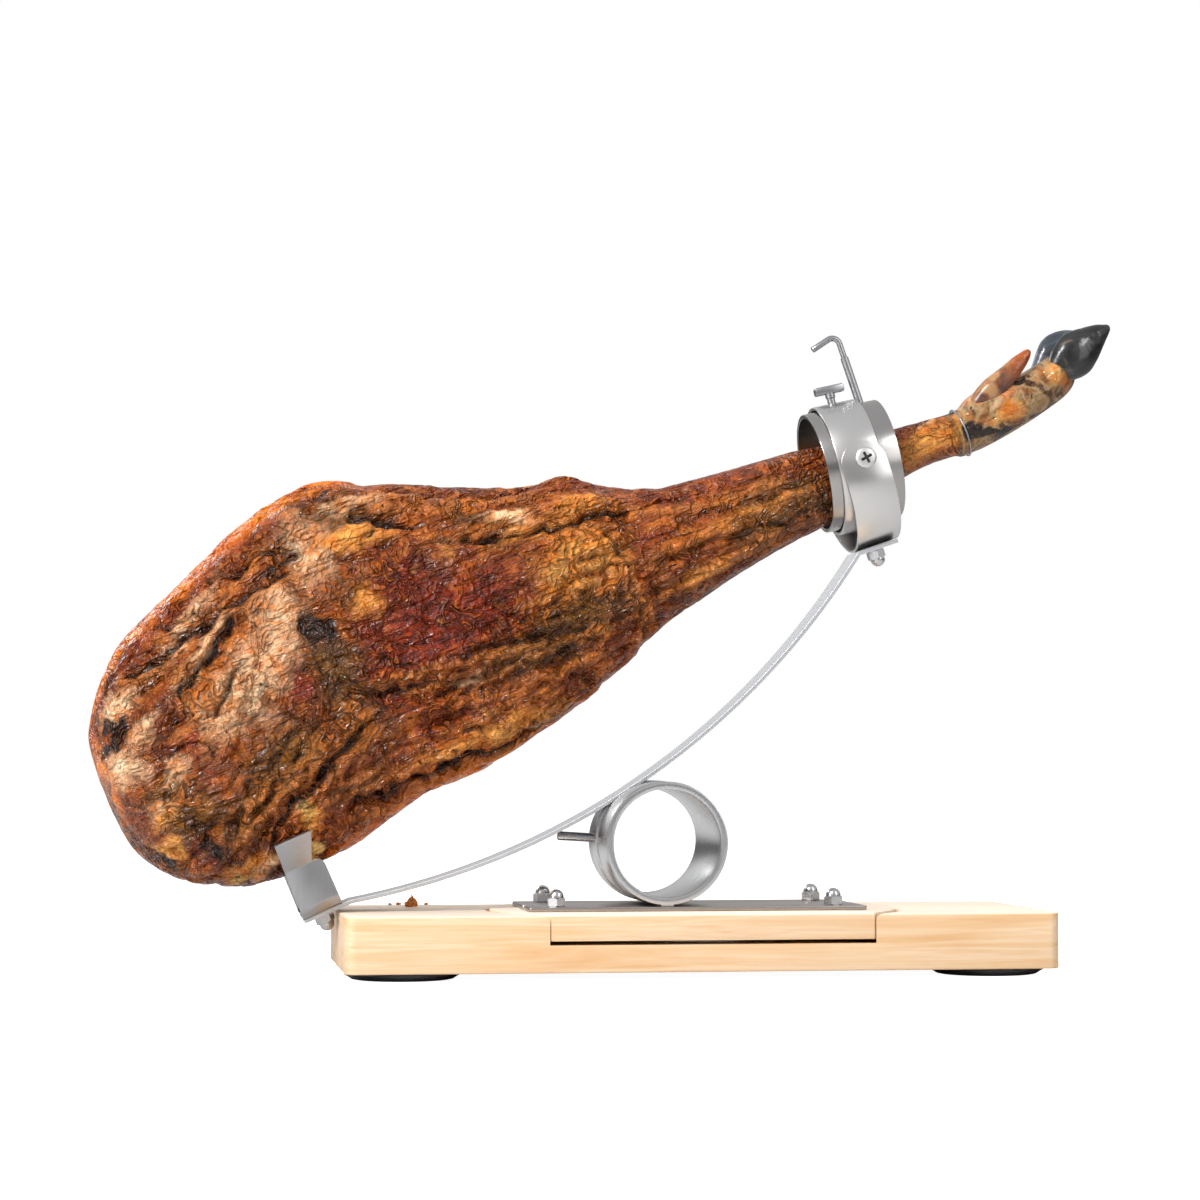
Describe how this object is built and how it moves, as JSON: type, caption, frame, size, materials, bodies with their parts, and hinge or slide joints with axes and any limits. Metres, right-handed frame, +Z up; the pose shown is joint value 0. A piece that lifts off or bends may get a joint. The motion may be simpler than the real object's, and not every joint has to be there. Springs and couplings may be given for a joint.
{
  "type": "cured ham",
  "caption": "Whole cured ham with its hoof, held hoof-up in a steel ring and cradle on a curved bar that tilts on a tube over a rectangular wooden board.",
  "frame": {"origin": "under the middle of the whole part's bounding box, on the surface that its pads stand on", "axes": "+X along the board towards the hoof, +Y from the ham's inner side to its outer side (away from the camera), +Z up"},
  "size_m": [0.8068, 0.2, 0.5127],
  "materials": {
    "ham": "glossy, oily cured skin and fat",
    "wood": "pale pine, satin",
    "steel": "brushed stainless steel",
    "polished_steel": "polished stainless steel",
    "rubber": "black, matte"
  },
  "bodies": {
    "base": {"board": "wood", "pad_front_left": "rubber", "pad_rear_left": "rubber", "pad_front_right": "rubber", "pad_rear_right": "rubber", "turntable_bearing": "steel"},
    "turntable": {"turntable_disc": "wood", "base_plate": "steel", "plate_nut_front_left": "polished_steel", "plate_nut_rear_left": "polished_steel", "plate_nut_front_right": "polished_steel", "plate_nut_rear_right": "polished_steel", "pivot_tube": "steel", "tube_spacer": "rubber"},
    "arm": {"tilt_collar": "steel", "lock_pin": "polished_steel", "arm_bar": "steel", "cradle": "steel", "cradle_nut": "polished_steel", "head_ring": "steel", "head_band": "steel", "pivot_screw_front": "polished_steel", "pivot_screw_rear": "polished_steel", "thumb_screw": "polished_steel", "clamp_rod": "polished_steel", "yoke": "steel", "yoke_nut": "polished_steel", "ham": "ham", "ankle_tie": "steel"}
  },
  "joints": [
    {"name": "swivel", "type": "hinge", "parent": "base", "child": "turntable", "pos_m": [0.0626, 0, 0.0265], "axis": [0, 0, 1], "range_deg": [-5, 5]},
    {"name": "tilt", "type": "hinge", "parent": "turntable", "child": "arm", "pos_m": [0.0325, 0, 0.101], "axis": [0, 1, 0], "range_deg": [0, 40]}
  ]
}
